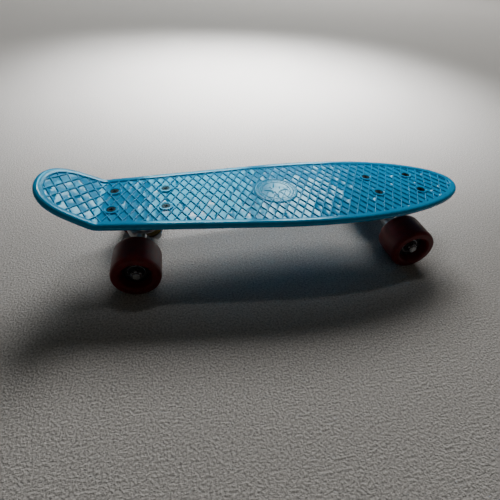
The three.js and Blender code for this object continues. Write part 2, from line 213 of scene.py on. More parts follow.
# One mesh from a first surface joined with or cut by others, with the solid solver
def combined(name, first, others, operation):
    piece = scratch(name, first)
    tools = [scratch(f"{name}Tool{i}", other) for i, other in enumerate(others)]
    for tool in tools:
        step = piece.modifiers.new("step", "BOOLEAN")
        step.operation, step.solver, step.object = operation, "MANIFOLD", tool
    data = settled(piece)
    for tool in tools:
        bpy.data.objects.remove(tool)
    return data


# Overlapping closed surfaces grown into one casting: voxels of the given size, then
# smoothing passes that leave a small fillet in every corner
def castTogether(name, surfaces, voxel, passes):
    piece = scratch(name, together(*surfaces))
    grow = piece.modifiers.new("grow", "REMESH")
    grow.mode, grow.voxel_size = "VOXEL", voxel * toMetres
    soften = piece.modifiers.new("soften", "SMOOTH")
    soften.factor, soften.iterations = 0.5, passes
    return settled(piece)


# A node group with named inputs (label, default) and outputs, and its two end nodes
def newGroup(name, inputs, outputs):
    group = bpy.data.node_groups.new(name, "ShaderNodeTree")
    for label, value in inputs:
        socket = group.interface.new_socket(label, in_out="INPUT", socket_type="NodeSocketFloat")
        socket.default_value = value
    for label in outputs:
        group.interface.new_socket(label, in_out="OUTPUT", socket_type="NodeSocketFloat")
    return group, group.nodes.new("NodeGroupInput").outputs, group.nodes.new("NodeGroupOutput").inputs


# A node whose inputs are given as numbers or as other nodes' sockets
def addNode(tree, kind, links=(), **values):
    node = tree.nodes.new(kind)
    for label, value in values.items():
        setattr(node, label, value)
    for socket, source in links:
        if isinstance(source, bpy.types.NodeSocket):
            tree.links.new(source, node.inputs[socket])
        else:
            node.inputs[socket].default_value = source
    return node


# One sum on two values, and the same for a product of three
def mathNode(tree, operation, a, b=0.0, clamp=False):
    return addNode(tree, "ShaderNodeMath", [(0, a), (1, b)],
                   operation=operation, use_clamp=clamp).outputs[0]


def product(tree, a, b, c):
    return mathNode(tree, "MULTIPLY", mathNode(tree, "MULTIPLY", a, b), c, clamp=True)


# The point in the object's own coordinates, and a noise read there
def objectPlace(tree):
    return addNode(tree, "ShaderNodeTexCoord").outputs["Object"]


def noiseNode(tree, place, scale, **inputs):
    links = [("Vector", place), ("Scale", scale)] + list(inputs.items())
    return addNode(tree, "ShaderNodeTexNoise", links).outputs["Fac"]


# A value stretched so that low becomes 0 and high becomes 1
def stretched(tree, value, low, high):
    return addNode(tree, "ShaderNodeMapRange", [("Value", value), ("From Min", low),
                                                ("From Max", high)]).outputs[0]


# Fine grain: two octaves of noise in object space, as a height and as a mask
def grainGroup():
    group, given, out = newGroup("fineGrain", [("Size", 1.0), ("Detail", 3.0)], ["Height", "Mask"])
    place = objectPlace(group)
    scale = mathNode(group, "DIVIDE", 1000.0, given["Size"])
    noise = noiseNode(group, place, scale, Detail=given["Detail"])
    broad = noiseNode(group, place, mathNode(group, "DIVIDE", scale, 9.0), Detail=2.0)
    group.links.new(noise, out["Height"])
    group.links.new(stretched(group, broad, 0.35, 0.65), out["Mask"])
    return group


# Hairline scratches: thin bands of a stretched noise, kept to patches by a broad noise
def scratchGroup():
    group, given, out = newGroup("hairScratches", [("Density", 0.4)], ["Mask"])
    place = objectPlace(group)
    masks = []
    for turn, seed in ((0.5, 3.1), (-0.9, 7.7), (1.4, 12.3)):
        turnedPlace = addNode(group, "ShaderNodeMapping", [
            ("Vector", place), ("Location", (seed, seed, 0)), ("Rotation", (0, 0, turn)),
            ("Scale", (18.0, 900.0, 300.0))])
        noise = noiseNode(group, turnedPlace.outputs[0], 1.0, Detail=1.0)
        masks.append(stretched(group, noise, 0.66, 0.74))
    both = mathNode(group, "MAXIMUM", mathNode(group, "MAXIMUM", masks[0], masks[1]), masks[2])
    patch = stretched(group, noiseNode(group, place, 22.0), 0.4, 0.65)
    group.links.new(product(group, both, patch, given["Density"]), out["Mask"])
    return group


# Dust: a mottled noise that only shows where the surface faces up
def dustGroup():
    group, given, out = newGroup("settledDust", [("Amount", 0.2), ("Size", 6.0)], ["Mask"])
    scale = mathNode(group, "DIVIDE", 1000.0, given["Size"])
    noise = noiseNode(group, objectPlace(group), scale, Detail=6.0, Roughness=0.7)
    normal = addNode(group, "ShaderNodeNewGeometry").outputs["Normal"]
    facing = addNode(group, "ShaderNodeSeparateXYZ", [(0, normal)]).outputs["Z"]
    up = mathNode(group, "MAXIMUM", facing, 0.0)
    spots = stretched(group, noise, 0.45, 0.75)
    group.links.new(product(group, spots, up, given["Amount"]), out["Mask"])
    return group


# Worn edges: convex places, found from the mesh's pointiness, broken up by grain
def edgeGroup():
    group, given, out = newGroup("wornEdges", [("Amount", 0.5)], ["Mask"])
    point = addNode(group, "ShaderNodeNewGeometry").outputs["Pointiness"]
    noise = noiseNode(group, objectPlace(group), 260.0, Detail=4.0)
    shifted = mathNode(group, "ADD", point, mathNode(group, "MULTIPLY", noise, 0.06))
    worn = mathNode(group, "MULTIPLY", stretched(group, shifted, 0.56, 0.62), given["Amount"],
                    clamp=True)
    group.links.new(worn, out["Mask"])
    return group


effects = {"grain": grainGroup(), "scratches": scratchGroup(),
           "dust": dustGroup(), "edges": edgeGroup()}


# One colour laid over another where a mask is 1; either may be a socket or a colour
def overlaid(tree, mask, under, over):
    mix = addNode(tree, "ShaderNodeMix", [("Factor", mask)], data_type="RGBA")
    sockets = [socket for socket in mix.inputs if socket.type == "RGBA"]
    for socket, source in zip(sockets, (under, over)):
        if isinstance(source, tuple):
            socket.default_value = source + (1,)
        else:
            tree.links.new(source, socket)
    return [socket for socket in mix.outputs if socket.type == "RGBA"][0]


# A finish from its dictionary: the colour drifts with grain, is paled by dust and worn
# edges, and roughness rises with dust, scratches and grain; grain and scratches are bump
def makeFinish(name, look):
    material = bpy.data.materials.new(name)
    material.use_nodes = True
    tree = material.node_tree
    shader = tree.nodes["Principled BSDF"]
    groups = {}
    for label, group in effects.items():
        groups[label] = tree.nodes.new("ShaderNodeGroup")
        groups[label].node_tree = group
        for socket, value in look.get(label, {}).items():
            groups[label].inputs[socket].default_value = value
    grain = groups["grain"].outputs
    dust, scratches, edges = (groups[k].outputs["Mask"] for k in ("dust", "scratches", "edges"))
    deep = tuple(c * look.get("drift", 0.85) for c in look["color"])
    colour = overlaid(tree, grain["Mask"], deep, look["color"])
    for mask, tint in ((edges, look.get("edgeColor")), (dust, look.get("dustColor"))):
        if tint:
            colour = overlaid(tree, mask, colour, tint)
    tree.links.new(colour, shader.inputs["Base Color"])
    rough = look["roughness"]
    for mask, share in ((grain["Mask"], look.get("roughDrift", 0.06)), (dust, 0.5),
                        (scratches, 0.35)):
        rough = mathNode(tree, "ADD", rough, mathNode(tree, "MULTIPLY", mask, share), clamp=True)
    tree.links.new(rough, shader.inputs["Roughness"])
    height = mathNode(tree, "SUBTRACT", grain["Height"],
                      mathNode(tree, "MULTIPLY", scratches, look.get("scratchDepth", 1.0)))
    bump = addNode(tree, "ShaderNodeBump", [("Strength", look.get("bump", 0.1)),
                                            ("Distance", look.get("bumpDepth", 0.1) * toMetres),
                                            ("Height", height)])
    tree.links.new(bump.outputs[0], shader.inputs["Normal"])
    for socket, value in look.get("sockets", {}).items():
        shader.inputs[socket].default_value = value
    return material


finishLooks = {
    "deckPlastic": {
        "slot": "deck_plastic",
        "color": (0.0, 0.33, 0.66), "drift": 0.93, "roughness": 0.1, "roughDrift": 0.05,
        "grain": {"Size": 2.6, "Detail": 2.0}, "bump": 0.12, "bumpDepth": 0.12,
        "scratches": {"Density": 0.5}, "scratchDepth": 0.5,
        "dust": {"Amount": 0.03, "Size": 5.0}, "dustColor": (0.3, 0.5, 0.6),
        "edges": {"Amount": 0.2}, "edgeColor": (0.02, 0.45, 0.9),
        "sockets": {"IOR": 1.5, "Specular IOR Level": 0.6, "Subsurface Weight": 0.06,
                    "Subsurface Radius": (0.2, 0.8, 1.0), "Subsurface Scale": 0.002},
    },
    "redUrethane": {
        "slot": "red_urethane",
        "color": (0.17, 0.003, 0.005), "drift": 0.7, "roughness": 0.36, "roughDrift": 0.1,
        "grain": {"Size": 0.9, "Detail": 4.0}, "bump": 0.25, "bumpDepth": 0.05,
        "scratches": {"Density": 0.0},
        "dust": {"Amount": 0.05, "Size": 3.0},
        "dustColor": (0.3, 0.2, 0.18), "edges": {"Amount": 0.0},
        "sockets": {"IOR": 1.49, "Specular IOR Level": 0.35, "Subsurface Weight": 0.35,
                    "Subsurface Radius": (1.0, 0.08, 0.06), "Subsurface Scale": 0.006},
    },
    "corePlastic": {
        "slot": "core_plastic",
        "color": (0.012, 0.012, 0.013), "roughness": 0.42, "grain": {"Size": 0.6},
        "bump": 0.3, "bumpDepth": 0.05, "dust": {"Amount": 0.12, "Size": 2.0},
        "dustColor": (0.2, 0.19, 0.18), "edges": {"Amount": 0.3},
        "edgeColor": (0.06, 0.06, 0.06), "sockets": {"IOR": 1.5},
    },
    "castAluminium": {
        "slot": "cast_aluminium",
        "color": (0.62, 0.63, 0.64), "drift": 0.82, "roughness": 0.3, "roughDrift": 0.16,
        "grain": {"Size": 0.8, "Detail": 5.0}, "bump": 0.35, "bumpDepth": 0.08,
        "scratches": {"Density": 0.6}, "dust": {"Amount": 0.1, "Size": 4.0},
        "dustColor": (0.3, 0.28, 0.26), "edges": {"Amount": 0.6},
        "edgeColor": (0.85, 0.85, 0.86), "sockets": {"Metallic": 1.0},
    },
    "zincSteel": {
        "slot": "zinc_steel",
        "color": (0.46, 0.47, 0.48), "drift": 0.8, "roughness": 0.27, "roughDrift": 0.12,
        "grain": {"Size": 0.5, "Detail": 3.0}, "bump": 0.15, "bumpDepth": 0.03,
        "scratches": {"Density": 0.8}, "dust": {"Amount": 0.08, "Size": 2.0},
        "dustColor": (0.3, 0.28, 0.25), "edges": {"Amount": 0.4},
        "edgeColor": (0.88, 0.87, 0.85), "sockets": {"Metallic": 1.0},
    },
    "blackSteel": {
        "slot": "black_steel",
        "color": (0.03, 0.033, 0.038), "drift": 0.7, "roughness": 0.3, "roughDrift": 0.15,
        "grain": {"Size": 0.5, "Detail": 3.0}, "bump": 0.15, "bumpDepth": 0.03,
        "scratches": {"Density": 0.8}, "dust": {"Amount": 0.03, "Size": 2.0},
        "dustColor": (0.2, 0.21, 0.22), "edges": {"Amount": 0.35},
        "edgeColor": (0.32, 0.34, 0.36), "sockets": {"Metallic": 1.0},
    },
    # Steel for the races, bushes and axle nuts in the wheel hubs, its colour darkened as painted shade for the
    # hubs' shade
    "bearingSteel": {
        "slot": "bearing_steel",
        "color": (0.3, 0.305, 0.32), "drift": 0.85, "roughness": 0.2, "roughDrift": 0.08,
        "grain": {"Size": 0.4}, "bump": 0.1, "bumpDepth": 0.02,
        "scratches": {"Density": 0.5}, "dust": {"Amount": 0.06, "Size": 2.0},
        "dustColor": (0.25, 0.24, 0.22), "edges": {"Amount": 0.2},
        "edgeColor": (0.8, 0.8, 0.8), "sockets": {"Metallic": 1.0},
    },
    "amberUrethane": {
        "slot": "amber_urethane",
        "color": (0.2, 0.155, 0.012), "drift": 0.8, "roughness": 0.28, "roughDrift": 0.1,
        "grain": {"Size": 1.2}, "bump": 0.15, "bumpDepth": 0.05,
        "dust": {"Amount": 0.08, "Size": 3.0}, "dustColor": (0.3, 0.27, 0.2),
        "sockets": {"IOR": 1.49, "Subsurface Weight": 0.4,
                    "Subsurface Radius": (1.0, 0.7, 0.1), "Subsurface Scale": 0.005},
    },
    "blackRubber": {
        "slot": "pivot_cup_plastic",
        "color": (0.014, 0.014, 0.015), "roughness": 0.5, "grain": {"Size": 0.6},
        "bump": 0.2, "bumpDepth": 0.05, "dust": {"Amount": 0.1, "Size": 2.0},
        "dustColor": (0.16, 0.15, 0.14), "sockets": {"IOR": 1.5},
    },
}
finish = {name: makeFinish(name, look) for name, look in finishLooks.items()}
print("finishes made:", len(finish))


deckForm = {
    "top": mountPlace["deck_top"][2] + 0.6,
    "noseTip": 270, "widest": 65, "halfWidth": 76.2, "noseRoundness": 2.1,
    "shoulder": 85, "taper": 0.095,
    "kink": -220, "tail": 70.13, "tailTaper": 0.12, "tailRoundness": 4.6,
    "tailAngle": 30, "bendRadius": 16,
    "rimHeight": 9, "rimRadius": 4.5, "rimWidth": 10.5, "webUnderside": 7.2,
    "crown": 0.5, "stations": 220, "crease": 38,
}
treadForm = {
    "angle": 28.8, "pitch": 10.64, "phaseX": -141.5, "phaseY": 0,
    "across": [-1.1, -0.85, -0.58, -0.22, 0.22, 0.58, 0.85, 1.1, 3.9, 6.75],
    "depths": [1.85, 1.4, 0.82, 0.55, 0.55, 0.82, 1.4, 1.85, 1.92, 1.92],
    "thickness": 2.6, "margin": 3.6, "cellTilt": 0.021, "cellDish": 0.003,
}
undersideForm = {
    "padDepth": 8, "padLength": 88, "padWidth": 60, "padCorner": 13, "padX": 173.5,
    "ribY": 24, "ribHalfLength": 122, "crossX": [-80, 0, 80], "crossHalfWidth": 50,
    "ribWidth": 3, "ribDepth": 8.6,
}
screwForm = {
    "spacingX": 63.5, "spacingY": 41.3, "centreX": 10.25, "headRadius": 5.5,
    "headSink": 0.8, "headHeight": 2.6, "shank": 2.4, "length": 19, "hole": 2.7,
    "padRadius": 8.5, "padSink": 0.2, "crossHalf": 0.62, "crossReach": 2.7, "crossDepth": 1.9,
    "pitch": 0.8,
}


# The outline's half width along the flat board: a parabola for the shoulder, then a
# straight taper to the kink
def widthBehindWidest(x):
    f = deckForm
    bend = f["taper"] / (2 * f["shoulder"])
    edge = f["widest"] - f["shoulder"]
    curve = f["halfWidth"] - bend * (f["widest"] - x) ** 2
    straight = f["halfWidth"] - bend * f["shoulder"] ** 2 - f["taper"] * (edge - x)
    return np.where(x > edge, curve, straight)


# The closed outline at even steps, tail tip to nose tip on the left and back on the right,
# with the inward direction at each step. Both ends are superellipses in an angle
def deckOutline(stations):
    f = deckForm
    angle = np.linspace(np.pi / 2, 0, 500)
    tailAlong = f["tail"] * np.sin(angle) ** (2 / f["tailRoundness"])
    tailWidth = widthBehindWidest(np.array(float(f["kink"]))) - f["tailTaper"] * tailAlong
    middle = np.linspace(f["kink"], f["widest"], 500)[1:]
    noseAlong = (f["noseTip"] - f["widest"]) * np.sin(angle[::-1]) ** (2 / f["noseRoundness"])
    x = np.concatenate([f["kink"] - tailAlong, middle, f["widest"] + noseAlong[1:]])
    y = np.concatenate([tailWidth * np.cos(angle), widthBehindWidest(middle),
                        f["halfWidth"] * np.cos(angle[::-1])[1:]])
    travelled = np.concatenate([[0], np.cumsum(np.hypot(np.diff(x), np.diff(y)))])
    even = np.linspace(0, travelled[-1], stations + 1)
    x, y = np.interp(even, travelled, x), np.interp(even, travelled, y)
    y[0] = y[-1] = 0
    x, y = np.concatenate([x, x[-2:0:-1]]), np.concatenate([y, -y[-2:0:-1]])
    alongX, alongY = np.roll(x, -1) - np.roll(x, 1), np.roll(y, -1) - np.roll(y, 1)
    length = np.hypot(alongX, alongY)
    return x, y, alongY / length, -alongX / length


# How far inside the outline each point is, in chunks: the least distance to its steps
def insideBy(x, y):
    ox, oy, _, _ = deckOutline(900)
    half = len(ox) // 2 + 1
    order = np.argsort(ox[:half])
    width = np.interp(x, ox[:half][order], oy[:half][order], left=-1, right=-1)
    inset = np.where(width > np.abs(y), 99.0, -1.0)
    near = np.nonzero((width > np.abs(y)) & ((width - np.abs(y) < 16)
                      | (x > ox.max() - 24) | (x < ox.min() + 24)))[0]
    for part in np.array_split(near, max(len(near) // 4000, 1)):
        gapX, gapY = x[part, None] - ox[None, :], y[part, None] - oy[None, :]
        inset[part] = np.sqrt((gapX ** 2 + gapY ** 2).min(1))
    return inset


# The rim's section as [distance in, depth]: up the inner wall, over a crowned top, round
# the bullnose and back under the lip to the web
def rimSection():
    f = deckForm
    r, w = f["rimRadius"], f["rimWidth"]
    nose = np.linspace(0, np.pi, 17)[1:-1]
    across = np.linspace(w - 1.9, r + 0.5, 6)
    crown = np.stack([across, f["crown"] * ((across - r) / (w - r)) ** 2], -1)
    inner = np.concatenate([roundedProfile([(w + 1, 2.2), (w - 0.2, 2.2, 0.15),
                                            (w - 1.1, f["crown"] * 0.75, 0.6), crown[0]], steps=4),
                            crown[1:]])
    lip = roundedProfile([(r, f["rimHeight"]), (w - 3.2, f["rimHeight"], 0.7),
                          (w - 1.8, f["webUnderside"], 1.2), (w + 3, f["webUnderside"])], steps=4)
    bull = np.stack([r * (1 - np.sin(nose)), r * (1 - np.cos(nose))], -1)
    return np.concatenate([inner, [[r, 0]], bull, lip])


# The deck without its tread: the rim's section carried round the outline, closed above
# and below by strips that run straight across
def deckShell():
    x, y, inX, inY = deckOutline(deckForm["stations"])
    section = rimSection()
    points = np.stack([x + inX * section[:, :1], y + inY * section[:, :1],
                       -np.repeat(section[:, 1:], len(x), 1)], -1).reshape(-1, 3)
    around, half = len(x), len(x) // 2
    i = np.arange(half)
    strips = np.stack([i, (around - i) % around, (around - i - 1) % around, i + 1], -1)
    lower = strips[:, ::-1] + (len(section) - 1) * around
    return points, np.concatenate([gridFaces(len(section), around), strips, lower])


# The waffle: ridges every pitch along two crossing directions a and b. Depth is the
# shallower of the two ridge sections, and x, y come back from a plus b and a minus b
def waffleSlab():
    t, f = treadForm, deckForm
    c, s = math.cos(math.radians(t["angle"])), math.sin(math.radians(t["angle"]))
    count = np.arange(-36, 36)
    lines = (count[:, None] * t["pitch"] + np.array(t["across"])).ravel()
    depths = np.tile(t["depths"], len(count))
    a, b = np.meshgrid(lines, lines, indexing="ij")
    depth = np.minimum(depths[:, None], depths[None, :])
    cell = np.floor(lines / t["pitch"]).astype(int) + 36
    inside = (lines + t["pitch"] * 36) % t["pitch"] - t["pitch"] / 2
    rng = np.random.default_rng(11)
    tilts = rng.normal(0, t["cellTilt"], (2, 80, 80))
    floorA, floorB = inside[:, None], inside[None, :]
    wave = (tilts[0][cell[:, None], cell[None, :]] * floorA
            + tilts[1][cell[:, None], cell[None, :]] * floorB
            + t["cellDish"] * (floorA ** 2 + floorB ** 2 - t["pitch"] ** 2 / 8))
    onFloor = (depths > 1.8)[:, None] & (depths > 1.8)[None, :]
    depth = depth - np.clip(wave, -0.4, 0.4) * onFloor
    x = (a + b) / (2 * c) + t["phaseX"]
    y = (a - b) / (2 * s) + t["phaseY"]
    behind = np.minimum(x - f["kink"], 0)
    x = np.maximum(x, f["kink"]) + behind / math.cos(math.radians(f["tailAngle"]))
    inset = insideBy(x.ravel(), y.ravel())
    faces = gridFaces(len(lines), len(lines), closeColumns=False)
    faces = faces[(inset[faces] > t["margin"]).all(1)]
    used, faces = np.unique(faces, return_inverse=True)
    points = np.stack([x.ravel(), y.ravel(), -depth.ravel()], -1)[used]
    faces = faces.reshape(-1, 4)
    edges = np.concatenate([faces, np.roll(faces, -1, 1)]).reshape(2, -1).T
    both, inverse, seen = np.unique(np.sort(edges, 1), axis=0, return_inverse=True,
                                    return_counts=True)
    rim = edges[seen[inverse.ravel()] == 1]
    low = points - [0, 0, t["thickness"]]
    walls = np.stack([rim[:, 1], rim[:, 0], rim[:, 0] + len(points), rim[:, 1] + len(points)], -1)
    return (np.concatenate([points, low]),
            np.concatenate([faces, faces[:, ::-1] + len(points), walls]))


# A board seen from above as a rounded rectangle, as angle steps on four corner arcs
def roundedSlab(length, width, corner, centre, low, high, edge=0.4):
    turn = np.linspace(0, np.pi / 2, 9)
    angle = np.concatenate([turn + q * np.pi / 2 for q in range(4)])
    signX = np.repeat([1, -1, -1, 1], 9)
    signY = np.repeat([1, 1, -1, -1], 9)
    rows = []
    for shrink, z in ((edge, low), (0, low + edge), (0, high - edge), (edge, high)):
        x = signX * (length / 2 - corner) + (corner - shrink) * np.cos(angle)
        y = signY * (width / 2 - corner) + (corner - shrink) * np.sin(angle)
        rows.append(np.stack([x + centre[0], y + centre[1], np.full(len(x), z)], -1))
    ends = [np.full((len(angle), 3), (centre[0], centre[1], z), float) for z in (low, high)]
    return np.concatenate([ends[0]] + rows + [ends[1]]), gridFaces(6, len(angle))


badgeForm = {"x": 2, "radius": 29.3, "sink": 0.75, "ringRadius": 27.2, "ringWidth": 1.3,
             "innerRing": 19.5, "ringHeight": 0.62, "starHeight": 0.75, "starLong": 17.5,
             "starShort": 11, "starWaist": 4.4, "waveHeight": 0.5, "tilt": 0.02}


# A rounded ridge: 1 where the distance is 0, falling to 0 at the width
def hump(distance, width):
    return np.clip(1 - (np.abs(distance) / width) ** 2, 0, 1) ** 0.7


# The badge: a disc whose height is a smooth edge, two raised rings, a ring of beads and a
# compass star, where a point is inside it if it is under the side from tip to waist
def badgeDisc():
    b = badgeForm
    radius = np.concatenate([[0], np.linspace(0.6, b["radius"] - 0.6, 88),
                             b["radius"] - 0.6 + 0.6 * np.sin(np.linspace(0.3, 1.57, 4))])
    angle = np.arange(240) * 2 * np.pi / 240
    r, a = np.meshgrid(radius, angle, indexing="ij")
    edgeDrop = 0.35 * np.clip((r - b["radius"] + 0.6) / 0.6, 0, 1) ** 2
    rings = hump(r - b["ringRadius"], b["ringWidth"]) + 0.7 * hump(r - b["innerRing"], 0.7)
    star = np.zeros_like(r)
    for reach, shift in ((b["starLong"], 0), (b["starShort"], np.pi / 4)):
        fold = np.abs((a + shift + np.pi / 4) % (np.pi / 2) - np.pi / 4)
        px, py = r * np.cos(fold), r * np.sin(fold)
        side = b["starWaist"] * (1 - px / reach) - py
        star = np.maximum(star, np.clip(side / 1.1, 0, 1) * (px < reach))
    beads = hump(r - 23.4, 0.9) * np.clip(np.cos(a * 36) * 2, 0, 1)
    z = -b["sink"] - edgeDrop + b["ringHeight"] * rings + b["starHeight"] * star \
        + b["waveHeight"] * beads + b["tilt"] * r * np.sin(a)
    top = np.stack([r * np.cos(a) + b["x"], r * np.sin(a), z], -1)
    foot, middle = top[-1].copy(), top[-1].copy()
    foot[:, 2] = -3.6
    middle[:] = [b["x"], 0, -3.6]
    points = np.concatenate([top, foot[None], middle[None]]).reshape(-1, 3)
    return points, gridFaces(len(radius) + 2, len(angle))


# Every screw's end, row, side and place: four round each truck, in a rectangle
def screwPlaces():
    s = screwForm
    places = []
    for end, sign in (("front", 1), ("rear", -1)):
        for side, across in (("left", 0.5), ("right", -0.5)):
            for reach, along in (("outer", 0.5), ("inner", -0.5)):
                x = sign * (halfWheelbase - s["centreX"] + along * s["spacingX"])
                places.append((end, reach, side, x, across * s["spacingY"]))
    return places


# Points behind the kink are rolled up round an arc whose centre is above the tread, then
# carried straight on up the tail; z is measured from the deck's top
def bendTail(points):
    f = deckForm
    full = math.radians(f["tailAngle"])
    start = f["kink"] + f["bendRadius"] * math.tan(full / 2)
    behind = np.maximum(start - points[:, 0], 0)
    turn = np.minimum(behind / f["bendRadius"], full)
    straight = np.maximum(behind - f["bendRadius"] * full, 0)
    radius = f["bendRadius"] - points[:, 2]
    bent = np.stack([start - radius * np.sin(turn) - straight * np.cos(turn), points[:, 1],
                     f["bendRadius"] - radius * np.cos(turn) + straight * np.sin(turn)], -1)
    return np.where((behind > 0)[:, None], bent, points)


# The moulding: shell, tread, badge, pads, ribs and bosses joined, holes cut, tail bent up
def buildDeck():
    u, s = undersideForm, screwForm
    web = deckForm["webUnderside"] - 0.6
    pads = [roundedSlab(u["padLength"], u["padWidth"], u["padCorner"], (e * u["padX"], 0),
                        -u["padDepth"], -web) for e in (-1, 1)]
    ribs = [roundedSlab(2 * u["ribHalfLength"], u["ribWidth"], u["ribWidth"] / 2 - 0.01,
                        (0, e * u["ribY"]), -u["ribDepth"], -web, 0.3) for e in (-1, 1)]
    ribs += [roundedSlab(u["ribWidth"], 2 * u["crossHalfWidth"], u["ribWidth"] / 2 - 0.01,
                         (x, 0), -u["ribDepth"], -web, 0.3) for x in u["crossX"]]
    bosses, holes = [], []
    for _, _, _, x, y in screwPlaces():
        boss = roundedProfile([(0, -3.4), (s["padRadius"], -3.4), (s["padRadius"], -s["padSink"], 0.3),
                               (s["padRadius"] - 1.2, -s["padSink"], 0.3),
                               (s["padRadius"] - 1.7, -s["padSink"] - 0.2, 0.2),
                               (0, -s["padSink"] - 0.2)])
        hole = [(0, -11), (s["hole"], -11), (s["hole"], -s["headSink"] - s["headHeight"] - 0.3),
                (s["headRadius"] + 0.15, -s["headSink"] + 0.02), (s["headRadius"] + 0.15, 1), (0, 1)]
        for shapes, profile in ((bosses, boss), (holes, hole)):
            points, faces = turned(profile, 64)
            shapes.append((points + [x, y, 0], faces))
    data = combined("deckMoulding", deckShell(),
                    [waffleSlab(), badgeDisc()] + pads + ribs + bosses, "UNION")
    data = combined("deckMoulding", data, holes, "DIFFERENCE")
    cleaned(data, 1e-6, 1e-7, triangles=True)
    points = np.empty(len(data.vertices) * 3)
    data.vertices.foreach_get("co", points)
    points = bendTail(points.reshape(-1, 3) / toMetres) + [middleX, 0, deckForm["top"]]
    data.vertices.foreach_set("co", (points * toMetres).ravel())
    data.update()
    addPiece("deckMoulding", data, "deckPlastic", "deck", ["deck"], deckForm["crease"])
    print("deck made:", len(data.polygons), "faces")


buildDeck()


# The screw's head from above: a flat disc with a cross recess, deep where the smaller of
# |x| and |y| is under half a wing and shallower towards the wings' ends
def screwSurface():
    s = screwForm
    sides = 72
    radius = np.concatenate([np.linspace(0, 3.2, 20), np.linspace(3.5, s["headRadius"] - 0.25, 5)])
    angle = np.arange(sides) * 2 * np.pi / sides
    r, a = np.meshgrid(radius, angle, indexing="ij")
    x, y = r * np.cos(a), r * np.sin(a)
    wing = np.clip((s["crossHalf"] - np.minimum(np.abs(x), np.abs(y))) / 0.16 + 0.5, 0, 1)
    wing = wing * np.clip((s["crossReach"] - r) / 0.35, 0, 1)
    depth = s["headSink"] + wing * s["crossDepth"] * (1 - 0.45 * r / s["crossReach"])
    head = np.stack([x, y, -depth], -1)
    top, under = -s["headSink"], -s["headSink"] - s["headHeight"]
    foot = -s["headSink"] - s["length"]
    below = np.concatenate([
        roundedProfile([(s["headRadius"] - 0.1, top - 0.05), (s["headRadius"], top - 0.3),
                        (s["shank"], under, 0.4)]),
        np.stack([np.full(90, s["shank"]), np.linspace(under - 0.6, foot + 0.5, 90)], -1),
        [[s["shank"] - 0.5, foot], [0, foot]]])
    thread, _ = turned(below, sides, thread=(foot + 0.6, under - 4, s["pitch"], 0.3))
    points = np.concatenate([head.reshape(-1, 3), thread])
    return points, gridFaces(len(radius) + len(below), sides)


# A lock nut about Z: a hexagon cut by a cone at both ends, with a round nylon collar
def lockNutSurface(flats, bore, low, high, collar=0.22):
    body = (high - low) * (1 - collar)
    corner = flats / 2 / math.cos(math.pi / 6)
    profile = roundedProfile([
        (bore, low), (flats / 2 - 0.3, low), (corner, low + (corner - flats / 2) * 0.6),
        (corner, low + body - (corner - flats / 2) * 0.5), (flats / 2 - 0.2, low + body),
        (flats / 2 - 0.7, low + body + 0.1), (flats / 2 - 0.9, high, 0.5), (bore + 0.4, high),
        (bore, high - 0.5), (bore, low)], steps=3)
    return turned(profile, 96, flats=flats, closed=False)


nutForm = {"truckFlats": 9.5, "truckHeight": 5, "plate": 5}


def buildScrews():
    s = screwForm
    nutTop = -undersideForm["padDepth"] - nutForm["plate"]
    nut = lockNutSurface(nutForm["truckFlats"], s["shank"] + 0.02,
                         nutTop - nutForm["truckHeight"], nutTop, collar=0)
    rng = np.random.default_rng(7)
    for end, reach, side, x, y in screwPlaces():
        spin = rng.uniform(0, np.pi / 2)
        turn = np.array([[math.cos(spin), -math.sin(spin), 0], [math.sin(spin), math.cos(spin), 0],
                         [0, 0, 1]])
        label = end + reach.capitalize() + side.capitalize()
        for kind, surface, node, look in (("Screw", screwSurface(), "screw", "blackSteel"),
                                          ("LockNut", nut, "lock_nut", "zincSteel")):
            points = surface[0] @ turn.T + [middleX + x, y, deckForm["top"]]
            addPiece(label + kind, (points, surface[1]), look, "deck",
                     [f"{end}_{node}_{reach}_{side}"], 30)
    print("screws and nuts made")


buildScrews()


truckForm = {
    "lean": -20, "ringRadius": 15.5, "ringThick": 7, "ringHole": 6.6,
    "plateLength": 80, "plateWidth": 54, "plateCorner": 9, "plateX": 10, "plateThick": 5,
    "seatRadius": 13, "seatHeight": 16, "bossRadius": 11.5, "bossMouth": -7,
    "axleRadius": 4, "axleHalf": 77.2, "axlePlay": 0.05, "hangerHalf": 43, "seatCut": 13.2,
    "pinHole": 5.1, "headPocket": 8.4, "cupHole": 8.3, "screwHole": 2.7, "nutFace": 6.6,
    "voxel": 0.62,
}
ringCentre = np.array([17.0, 0, jointPlace["rear_truck_steer"][2]])
pivotCentre = np.array([-16.0, 0, 73.5])
axleHeight = jointPlace["rear_left_wheel_spin"][2]


# A surface made about Z, stood on the kingpin's axis or on the pivot's
def onKingpin(surface):
    return leant(surface, truckForm["lean"], ringCentre)


def onPivot(surface):
    return leant(surface, truckForm["lean"], pivotCentre)


# A surface made about Z, laid along the axle
def onAxle(surface):
    return alongY(surface, (0, 0, axleHeight))


# A straight bar between two points, its radius easing from one to the other
def taperedBar(start, end, radiusStart, radiusEnd, sides=32):
    start, end = np.array(start, float), np.array(end, float)
    length = np.linalg.norm(end - start)
    axis = (end - start) / length
    side = np.cross(axis, [0, 0, 1] if abs(axis[2]) < 0.9 else [1, 0, 0])
    side /= np.linalg.norm(side)
    other = np.cross(axis, side)
    share = np.array([0, 0, 0.5, 1, 1])
    radius = (radiusStart + (radiusEnd - radiusStart) * share) * [0, 1, 1, 1, 0]
    angle = np.arange(sides) * 2 * np.pi / sides
    circle = np.cos(angle)[:, None] * side + np.sin(angle)[:, None] * other
    points = (start + axis * (length * share)[:, None])[:, None] + radius[:, None, None] * circle
    return points.reshape(-1, 3), gridFaces(5, sides)


